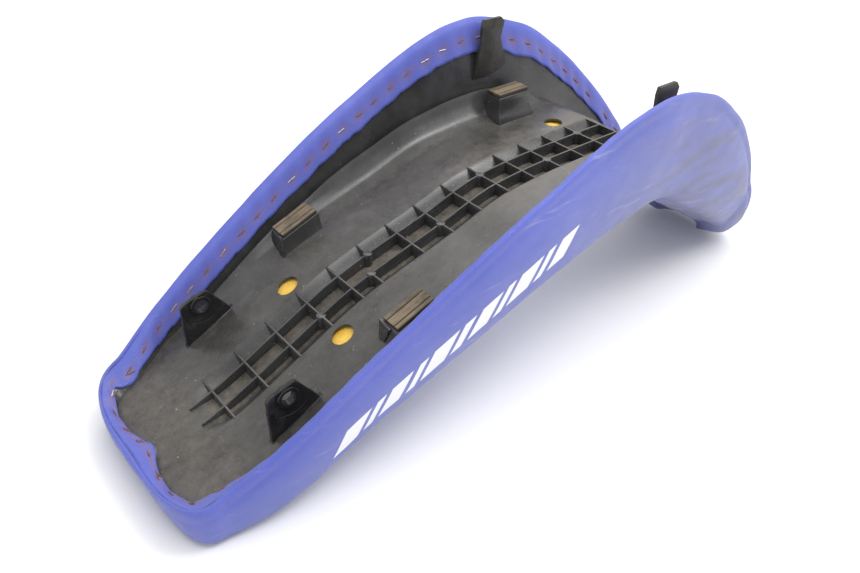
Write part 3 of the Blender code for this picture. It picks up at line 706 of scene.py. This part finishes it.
def make_ribs(material):
    """The rib grid in the channel, with round bosses at some of its crossings."""
    mesh = bmesh.new()
    for across in (LONG_RIB_OFFSET, -LONG_RIB_OFFSET):
        xs = np.linspace(*LONG_RIB_ENDS, 90)
        near = across - RIB_THICKNESS / 2
        tops = [(x, near, floor_height(x) + 0.4) for x in xs]
        feet = [(x, near, floor_height(x) - RIB_SINK) for x in xs[::-1]]
        prism(mesh, tops + feet, (0, RIB_THICKNESS, 0))
    edge = CHANNEL_HALF_WIDTH + 0.5
    for k in range(CROSS_RIBS):
        x = FIRST_RIB + RIB_PITCH * k
        spans = [(x, -edge, edge)]
        if k == BROKEN_RIB:
            spans = [(x, LONG_RIB_OFFSET, edge), (x + BROKEN_RIB_SHIFT, -edge, -LONG_RIB_OFFSET)]
        for place, start, end in spans:
            top = floor_height(place) + 0.35
            add_plate(mesh, (place, start, top), (place, end, top))
    bosses = [(FIRST_RIB + RIB_PITCH * k, LONG_RIB_OFFSET) for k in LEFT_BOSSES]
    bosses += [(FIRST_RIB + RIB_PITCH * k, -LONG_RIB_OFFSET) for k in RIGHT_BOSSES]
    bosses.append((FIRST_RIB + RIB_PITCH * BROKEN_RIB + BROKEN_RIB_SHIFT, -LONG_RIB_OFFSET))
    for x, y in bosses:
        ring = [(x + BOSS_RADIUS * math.cos(a), y + BOSS_RADIUS * math.sin(a), floor_height(x) + 0.45)
                for a in np.linspace(0, 2 * math.pi, 28, endpoint=False)]
        prism(mesh, ring, (0, 0, -RIB_SINK))
    return bevelled("ribs", mesh, material, 0.45, 2, 30)


def make_pedestal(rear, front, rear_top, front_top, side, material):
    """Block under a rubber pad, flared at its foot; the middle ones have a fin behind."""
    mesh = bmesh.new()
    mid = side * BUMPER_OFFSET
    levels = []
    for drop, flare in PEDESTAL_STEPS:
        back, ahead = rear - flare * 0.8, front + flare
        right, left = mid - PEDESTAL_HALF_WIDTH - flare, mid + PEDESTAL_HALF_WIDTH + flare
        ring = rounded([(back, right, 0), (ahead, right, 0), (ahead, left, 0), (back, left, 0)],
                       [2.5 + flare * 0.4] * 4, 4)
        level = []
        for point in ring:
            t = (point.x - rear) / (front - rear)
            level.append((point.x, point.y, rear_top + (front_top - rear_top) * t - drop))
        levels.append(level)
    rings = [[mesh.verts.new(Vector(p) * MM) for p in level] for level in levels]
    mesh.faces.new(rings[0])
    add_skin(mesh, rings, flip=True)
    if rear < 0:
        fin = [(rear + 1.5, mid + side * across, rear_top + rise)
               for across, rise in ((-12.0, 4.0), (3.0, 1.0), (-10.0, -26.0), (-14.5, -26.0))]
        prism(mesh, fin, (-2.6, 0, 0))
    return bevelled("pedestal", mesh, material, 0.5, 2, 40)


def make_tab(side, material):
    """Upright plate inside the front wing, a little twisted and leaning out at its foot."""
    mesh = bmesh.new()
    near, far = [], []
    for x, z in rounded(TAB_OUTLINE, TAB_RADII):
        lean = TAB_OFFSET + max(0.0, 262 - z) * 0.10 - max(0.0, x - 120) * 0.05
        near.append((x, side * (lean - 2.2), z))
        far.append((x, side * (lean + 1.6), z))
    add_slab(mesh, near, far)
    return bevelled("tab", mesh, material, 0.9, 3, 35)


def make_ear(side, material):
    """Upright plate with a hole, thicker below an arc under the hole, on a bevelled foot."""
    mesh = bmesh.new()
    foot_rear, foot_front = EAR_FOOT
    outline = rounded([(foot_rear, floor_height(foot_rear) - 4, 0), (-295.5, 104, 0), (-289, 109.5, 0),
                       (-264, 116.5, 0), (-258, 112, 0), (foot_front, floor_height(foot_front) - 1, 0)],
                      [0, 5, 5, 5, 5, 0])
    plate = [(p.x, side * EAR_OFFSET - EAR_THICKNESS / 2, p.y) for p in outline]
    prism(mesh, plate, (0, EAR_THICKNESS, 0))
    bmesh.ops.recalc_face_normals(mesh, faces=mesh.faces)
    ear = new_object("ear", mesh, material)
    cutter_mesh = bmesh.new()
    turn = Matrix.Rotation(math.pi / 2, 4, "X")
    place = Matrix.Translation(Vector((EAR_HOLE[0], side * EAR_OFFSET, EAR_HOLE[1])) * MM) @ turn
    bmesh.ops.create_cone(cutter_mesh, cap_ends=True, segments=48, radius1=EAR_HOLE_RADIUS * MM,
                          radius2=EAR_HOLE_RADIUS * MM, depth=30 * MM, matrix=place)
    cut(ear, cutter_mesh)
    bevel_and_smooth(ear, 0.8, 3, 35)
    lower = bmesh.new()
    arc = [(EAR_HOLE[0] + 25.0 * math.cos(a), EAR_HOLE[1] + 6.0 + 25.0 * math.sin(a))
           for a in np.linspace(math.radians(-26), math.radians(-142), 16)]
    block = [(foot_front - 1.5, floor_height(foot_front) + 1)] + arc
    block += [(foot_rear + 0.5, floor_height(foot_rear) - 3)]
    near = side * EAR_OFFSET - EAR_LOWER_THICKNESS / 2
    prism(lower, [(x, near, z) for x, z in block], (0, EAR_LOWER_THICKNESS, 0))
    thick = bevelled("ear_lower", lower, material, 0.7, 2, 35)
    foot = bmesh.new()
    rear = (foot_rear - 1.0, floor_height(foot_rear - 1.0) - 2.5)
    front = (foot_front + 1.5, floor_height(foot_front + 1.5) - 2.5)
    start = [(rear[0], side * EAR_OFFSET + y, rear[1] + z) for y, z in EAR_FOOT_SECTION]
    prism(foot, start, (front[0] - rear[0], 0, front[1] - rear[1]))
    base = bevelled("ear_foot", foot, material, 0.5, 2, 25)
    whole = join("ear", [ear, thick, base])
    shade(whole, 40)
    return whole


def paint_dust(item):
    """Vertex layer that is high on the channel's floor, beside it in front, and at the rear."""
    layer = item.data.attributes.new("dust", "FLOAT", "POINT")
    values = []
    for vertex in item.data.vertices:
        x, y, z = vertex.co / MM
        below = floor_height(x) - z
        cell = float(smooth((below - 2.0) / 5.0)) if abs(y) < 34 and -335 < x < 208 else 0.0
        floor = 0.28 * float(smooth(1.2 - abs(below) / 6.0))
        rear = 0.25 * float(smooth((-290 - x) / 50.0))
        beside = 0.35 * float(smooth((60 - abs(y)) / 20.0)) * float(smooth((x + 60) / 80.0))
        values.append(min(1.0, max(cell, floor + rear + beside)))
    layer.data.foreach_set("value", values)


def make_pan(ring, materials):
    """The moulded tray with all that is moulded on it, as one visible piece."""
    shell = loft("pan_shell", pan_levels(ring), materials["pan"], flip=True)
    apply_modifier(shell, "SOLIDIFY", thickness=PAN_THICKNESS * MM, offset=-1.0)
    cutters = bmesh.new()
    for x, y in VENTS:
        place = Matrix.Translation(Vector((x, y, floor_height(x))) * MM)
        bmesh.ops.create_cone(cutters, cap_ends=True, segments=64, radius1=VENT_RADIUS * MM,
                              radius2=VENT_RADIUS * MM, depth=24 * MM, matrix=place)
    cut(shell, cutters)
    shade(shell, 50)
    parts = [shell, make_ribs(materials["pan"])]
    for rear, front, rear_top, front_top in BUMPERS.values():
        for side in (1, -1):
            parts.append(make_pedestal(rear, front, rear_top, front_top, side, materials["pan"]))
    pan = join("pan_visible", parts)
    shade(pan, 45)
    paint_dust(pan)
    finish_piece(pan, ["base_pan"])
    fittings = [make_ear(side, materials["ear"]) for side in (1, -1)]
    fittings += [make_tab(side, materials["tab"]) for side in (1, -1)]
    for item, name in zip(fittings, ("ear_left", "ear_right", "tab_left", "tab_right")):
        item.name = f"{name}_visible"
        is_ear = name.startswith("ear")
        finish_piece(item, [name] if is_ear else [])


# ---- cover

def staple_stations(ring):
    """Distances round the rim where staples sit: the CAD's own, and the places between them."""
    row = ring.place(*ring.wall_point(ring.hem * STAPLE_ROW))
    made = []
    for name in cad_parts:
        if name.startswith("staple"):
            low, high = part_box(name)
            centre = (np.array(low) + np.array(high)) / 2 / MM
            made.append(float(ring.arc[np.argmin(np.linalg.norm(row - centre, axis=1))]))
    made.sort()
    places = []
    for here, there in zip(made, made[1:] + [made[0] + ring.total]):
        places.append(here)
        if there - here > STAPLE_SPACING:
            places.append((here + there) / 2 % ring.total)
    return sorted(places)


def nearest_staple(ring, staples):
    """Distance along the rim from each rim point to its nearest staple."""
    gap = np.abs(ring.arc[:, None] - np.array(staples)[None, :])
    return np.min(np.minimum(gap, ring.total - gap), axis=1)


def hem_edge(ring, staples):
    """Share of the wall at which the hem ends: lobes between the staples, ragged all along."""
    near = np.minimum(nearest_staple(ring, staples), HEM_LOBE) / HEM_LOBE
    shares = np.linspace(0, 1, 60)
    edge = np.empty(len(ring.x))
    for k, arc in enumerate(ring.arc):
        uneven = 0.6 + 0.8 * noise.noise(Vector((arc * 0.03, 1.7, 4.0)))
        lobe = 1.6 - 3.4 * near[k] ** 2.2 * uneven
        ragged = noise.noise(Vector((arc * 0.035, 3.1, 0.0))) * 3.4
        ragged += noise.noise(Vector((arc * 0.16, 7.7, 0.0))) * 1.5
        rear = float(smooth((-352 - ring.x[k]) / 12))
        ragged = ragged * (1 - 0.75 * rear) + rear * noise.noise(Vector((arc * 0.9, 2.2, 8.0))) * 0.8
        torn = -7.0 * math.exp(-((ring.x[k] + 368) / 5.0) ** 2) if ring.y[k] > 0 else 0.0
        width = ring.hem_width[k] + lobe * (1 - 0.8 * rear) + ragged + torn
        reach = np.hypot((ring.wall[k] - RIM_INSET) * shares ** WALL_CURVE,
                         (ring.top[k] - ring.foot_height[k]) * shares)
        edge[k] = np.interp(width, reach, shares)
    return np.clip(edge, 0.06, 0.98)


def add_marks(marks, *values):
    """Adds one level's value to each list of marks, in their order."""
    for rows, value in zip(marks.values(), values):
        rows.append(value)


def cover_levels(ring, staples):
    """Rings of the cover's outer face from hem to underside, and the material's marks there."""
    near = nearest_staple(ring, staples)
    edge = hem_edge(ring, staples)
    lobe = 0.5 - 0.5 * np.cos(np.minimum(near, HEM_LOBE) / HEM_LOBE * np.pi)
    levels = []
    marks = {"outside": [], "down": [], "rust": []}
    for step, share in enumerate(np.linspace(1, 0, 18)):
        held = 0.985 if step == 1 else share
        across, height = ring.wall_point(edge * held)
        near_across, near_height = ring.wall_point(np.clip(edge * held + 0.02, 0, 1))
        run_x, run_z = near_across - across, near_height - height
        size = np.hypot(run_x, run_z)
        normal_x, normal_z = run_z / size, -run_x / size
        # Pressed in at each staple, puffed between them and standing off the pan at the edge
        row = math.exp(-((share - STAPLE_ROW) / 0.28) ** 2)
        dent = np.exp(-(near / 4.6) ** 2) * HEM_DENT * row
        puff = lobe * (0.35 + 1.25 * share ** 2)
        lift = GAP + VINYL - dent + puff
        if step == 0:
            lift = np.full(len(near), 0.15)
        levels.append(ring.place(across + normal_x * lift, height + normal_z * lift))
        stain = np.exp(-(near / 8.5) ** 2) * math.exp(-((share - STAPLE_ROW) / 0.20) ** 2)
        old_holes = 0.75 * smooth((-356 - ring.x) / 8) * math.exp(-((share - STAPLE_ROW) / 0.26) ** 2)
        add_marks(marks, 0.0, 0.0, np.maximum(stain, old_holes))
    crest = np.minimum(1.0, (ring.height - ring.low) / 20.0)
    for inset, drop in ((5.6, 0.9), (4.6, 0.25), (3.4, 0.0), (2.2, 0.2), (1.2, 1.0), (0.5, 2.4),
                        (0.1, 3.8)):
        levels.append(ring.place(ring.length - inset, ring.height - drop * crest))
        add_marks(marks, float(smooth((4.0 - inset) / 3.0)), 0.0, 0.0)
    side_count, flat_count = 44, 30
    levels += skin_levels(ring, side_count, flat_count)
    for share in np.linspace(0, 1, side_count)[1:]:
        add_marks(marks, 1.0, share, 0.0)
    for _ in range(flat_count - 1):
        add_marks(marks, 1.0, 1.0, 0.0)
    return levels, marks


def skin_levels(ring, side_count, flat_count):
    """Rings down the seat's side, with a groove below the crest, and across its padded face."""
    side = ring.height - 5.0 * np.minimum(1.0, (ring.height - ring.low) / 20.0) - ring.low
    levels = []
    for share in np.linspace(0, 1, side_count)[1:]:
        inset = curve(SIDE_INSET, share)
        shape = curve(SIDE_DROP, share)
        groove = 1.2 * np.exp(-((side * shape - 8.0) / 4.0) ** 2) * np.minimum(side / 60.0, 1.0)
        levels.append(ring.place(ring.length - ring.lean * inset - groove,
                                 ring.low + side * (1 - shape)))
    flat = ring.length - ring.lean * SIDE_INSET[-1][1]
    for share in np.linspace(1, 0, flat_count)[1:]:
        across = flat * share
        base = curve(PAD_HEIGHT, ring.spine + ring.out_x * across)
        levels.append(ring.place(across, base + side * curve(FACE_LIFT, share)))
    return levels


def wrinkle(item):
    """Slow unevenness over the whole cover."""
    item.data.update()
    normals = [vertex.normal.copy() for vertex in item.data.vertices]
    for vertex, normal in zip(item.data.vertices, normals):
        at = vertex.co / MM
        slow = noise.noise(at * 0.016) * 0.8 + noise.noise(at * 0.05 + Vector((5, 5, 5))) * 0.3
        vertex.co += normal * slow * MM


def make_cover(ring, staples, materials):
    levels, marks = cover_levels(ring, staples)
    cover = loft("cover_visible", levels, materials["vinyl"], marks=marks)
    wrinkle(cover)
    finish_piece(cover, ["vinyl_cover"])


def make_foam(ring, materials):
    """Foam under the pan and inside the cover, seen through the vents."""
    levels = []
    for share in np.linspace(0.35, 1, 8):
        across, height = ring.wall_point(share)
        levels.append(ring.place(np.maximum(across + 2.5, 0), height - 5.0))
    for share in np.linspace(1, 0, 24)[1:]:
        across = ring.foot * share
        x = ring.spine + ring.out_x * across
        levels.append(ring.place(across, pan_height(x, ring.out_y * across) - 5.5))
    foam = loft("foam_top", levels, materials["foam"], flip=True)
    skin = loft("foam_skin", skin_levels(ring, 24, 24)[4:], materials["foam"])
    skin.data.update()
    lowest = min(skin.data.vertices, key=lambda vertex: vertex.co.z)
    inward = 1.0 if lowest.normal.z > 0 else -1.0
    normals = [vertex.normal.copy() for vertex in skin.data.vertices]
    for vertex, normal in zip(skin.data.vertices, normals):
        vertex.co += normal * inward * FOAM_INSET * MM
    foam = join("foam_visible", [foam, skin])
    foam.data.polygons.foreach_set("use_smooth", [True] * len(foam.data.polygons))
    finish_piece(foam, ["foam_cushion"])


# ---- staples, pads, grommets

def add_bar(mesh, rings):
    """Closed solid through rings of vertices."""
    add_skin(mesh, rings)
    mesh.faces.new(list(reversed(rings[0])))
    mesh.faces.new(rings[-1])


def add_staple(mesh, centre, along, up):
    """Round-cornered wire crown with two short legs turned into the hem."""
    along, up = along.normalized(), up.normalized()
    side = up.cross(along).normalized()
    half = STAPLE_LENGTH / 2
    path = [(-half, -1.6), (-half, -0.35), (-half + 0.18, -0.05), (-half + 0.6, 0.05), (0, 0.12),
            (half - 0.6, 0.05), (half - 0.18, -0.05), (half, -0.35), (half, -1.6)]
    rings = []
    for k, (a, b) in enumerate(path):
        before = path[max(k - 1, 0)]
        after = path[min(k + 1, len(path) - 1)]
        run = Vector((after[0] - before[0], after[1] - before[1])).normalized()
        normal = along * -run.y + up * run.x
        middle = centre + along * a + up * b
        ring = []
        for step in range(8):
            angle = 2 * math.pi * step / 8
            ring.append(mesh.verts.new((middle + side * math.cos(angle) * 0.62
                                        + normal * math.sin(angle) * 0.38) * MM))
        rings.append(ring)
    add_bar(mesh, rings)


def make_staples(ring, staples, materials):
    """All the hem's staples: the CAD ones and the rest of the real row."""
    rusty, bright = bmesh.new(), bmesh.new()
    count = len(ring.x)
    row = ring.place(*ring.wall_point(ring.hem * STAPLE_ROW))
    lower = ring.place(*ring.wall_point(ring.hem * STAPLE_ROW + 0.02))
    lift = GAP + VINYL - HEM_DENT + STAPLE_LIFT
    for arc in staples:
        k = int(np.argmin(np.abs(ring.arc - arc)))
        here = Vector(row[k])
        along = (Vector(row[(k + 1) % count]) - Vector(row[k - 1])).normalized()
        down = (Vector(lower[k]) - here).normalized()
        up = along.cross(down).normalized()
        if up.z < 0:
            up = -up
        turned = Matrix.Rotation(random.uniform(-0.2, 0.2), 3, up)
        target = bright if random.random() < BRIGHT_SHARE else rusty
        add_staple(target, here + up * lift, turned @ along, up)
        # Some rear staples have a second one driven in crooked beside them
        if here.x < -345 and random.random() < 0.55:
            beside = here + up * (lift + 0.25) + down * random.uniform(1.5, 3.5)
            crooked = Matrix.Rotation(random.uniform(-0.5, 0.5), 3, up) @ along
            add_staple(rusty, beside, crooked, up)
    nodes = [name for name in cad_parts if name.startswith("staple")]
    for mesh, name, covers in ((rusty, "staples_rusty", nodes), (bright, "staples_bright", [])):
        bmesh.ops.recalc_face_normals(mesh, faces=mesh.faces)
        item = new_object(name, mesh, materials[name])
        finish_piece(item, covers)


def make_pads(materials):
    """The four rubber pads: a grooved section, pinched at its ends, on each pedestal's slope."""
    for place, (rear, front, rear_top, front_top) in BUMPERS.items():
        slope = math.atan2(front_top - rear_top, front - rear)
        for side, word in ((1, "left"), (-1, "right")):
            mesh = bmesh.new()
            rings = []
            for t in PAD_STATIONS:
                at_end = t in (PAD_STATIONS[0], PAD_STATIONS[-1])
                pinch, sink = (0.94, 0.86) if at_end else (1.0, 1.0)
                level = [Vector((t, y * pinch, z * sink)) * MM for y, z in PAD_PROFILE]
                rings.append([mesh.verts.new(point) for point in level])
            add_bar(mesh, rings)
            bmesh.ops.recalc_face_normals(mesh, faces=mesh.faces)
            middle = Vector(((rear + front) / 2, side * BUMPER_OFFSET,
                             (rear_top + front_top) / 2 + GAP))
            mesh.transform(Matrix.Translation(middle * MM) @ Matrix.Rotation(-slope, 4, "Y"))
            pad = new_object(f"pad_{place}_{word}", mesh, materials["rubber"])
            pad.data.set_sharp_from_angle(angle=math.radians(40))
            layer = pad.data.attributes.new("worn", "FLOAT", "POINT")
            base = Matrix.Rotation(slope, 4, "Y")
            heights = [(base @ (vertex.co - middle * MM)).z / MM for vertex in pad.data.vertices]
            layer.data.foreach_set("value", [float(smooth((h - 2.9) / 1.0)) for h in heights])
            finish_piece(pad, [f"bumper_pad_{place}_{word}"])


def make_grommets(materials):
    """A slightly uneven flanged rubber ring in each ear's hole."""
    steps = 48
    for side, word in ((1, "left"), (-1, "right")):
        mesh = bmesh.new()
        rings = []
        for k in range(steps):
            angle = 2 * math.pi * k / steps
            wobble = 1 + 0.03 * math.sin(angle * 3 + side) + 0.02 * math.sin(angle * 7)
            ring = [Vector((EAR_HOLE[0] + radius * wobble * math.cos(angle), side * EAR_OFFSET + along,
                            EAR_HOLE[1] + radius * wobble * math.sin(angle))) * MM
                    for radius, along in GROMMET_PROFILE]
            rings.append([mesh.verts.new(point) for point in ring])
        add_skin(mesh, rings + rings[:1])
        bmesh.ops.recalc_face_normals(mesh, faces=mesh.faces)
        grommet = new_object(f"grommet_{word}", mesh, materials["grommet"])
        grommet.data.set_sharp_from_angle(angle=math.radians(50))
        finish_piece(grommet, [f"ear_grommet_{word}"])


# ---- stage

def make_stage():
    mesh = bmesh.new()
    half = 6.0
    outline = ((-half, -half), (half, -half), (half, half), (-half, half))
    mesh.faces.new([mesh.verts.new((x, y, -0.0006)) for x, y in outline])
    m = Nodes("floor_white")
    shade_of_white = m.ramp(m.noise(3.0, 4.0, 0.6), 0.3, 0.7)
    m.feed("Base Color", m.mix(shade_of_white, (0.86, 0.86, 0.86), (0.90, 0.90, 0.895)))
    m.set(Roughness=0.6, Specular_IOR_Level=0.25)
    floor = new_object("floor", mesh, m.material, False)


def add_area(name, place, target, size, power):
    """A rectangular lamp aimed at a point."""
    data = bpy.data.lights.new(name, "AREA")
    data.shape = "RECTANGLE"
    data.size, data.size_y = size
    data.energy = power
    lamp = bpy.data.objects.new(name, data)
    lamp.location = place
    lamp.rotation_euler = (Vector(target) - Vector(place)).to_track_quat("-Z", "Y").to_euler()
    bpy.context.scene.collection.objects.link(lamp)


def make_light():
    world = bpy.data.worlds.new("studio")
    world.use_nodes = True
    background = world.node_tree.nodes["Background"]
    background.inputs["Color"].default_value = (1.0, 1.0, 1.0, 1.0)
    background.inputs["Strength"].default_value = 0.86
    bpy.context.scene.world = world
    bpy.context.scene.view_settings.view_transform = "Standard"
    add_area("key", (0.2, -0.6, 2.2), (0, 0, 0.1), (2.2, 1.4), 28)
    add_area("strip", (0.9, -0.8, 1.7), (0, 0, 0.12), (0.5, 1.8), 14)
    add_area("sheen", (0.9, 1.3, 1.3), (0, 0, 0.1), (1.0, 1.8), 9)


def make_camera():
    data = bpy.data.cameras.new("camera")
    data.sensor_width = 36.0
    data.lens = CAMERA_LENS
    data.clip_start = 0.01
    data.clip_end = 50.0
    camera = bpy.data.objects.new("camera", data)
    camera.location = CAMERA_PLACE
    camera.rotation_euler = (math.radians(90 - CAMERA_DOWN), 0.0, math.radians(CAMERA_HEADING - 90))
    bpy.context.scene.collection.objects.link(camera)
    bpy.context.scene.camera = camera


def main():
    make_camera()
    make_light()
    make_stage()
    materials = {
        "vinyl": vinyl_material(),
        "pan": pan_material(),
        "ear": ear_material(),
        "tab": tab_material(),
        "foam": foam_material(),
        "rubber": rubber_material(),
        "grommet": plain_material("grommet_rubber", (0.012, 0.012, 0.012), 0.35),
        "staples_rusty": staple_material("staples_rusty", True),
        "staples_bright": staple_material("staples_bright", False),
    }
    ring = Ring(4.0, 28)
    staples = staple_stations(ring)
    make_pan(ring, materials)
    make_cover(ring, staples, materials)
    make_foam(ring, materials)
    make_staples(ring, staples, materials)
    make_pads(materials)
    make_grommets(materials)


main()
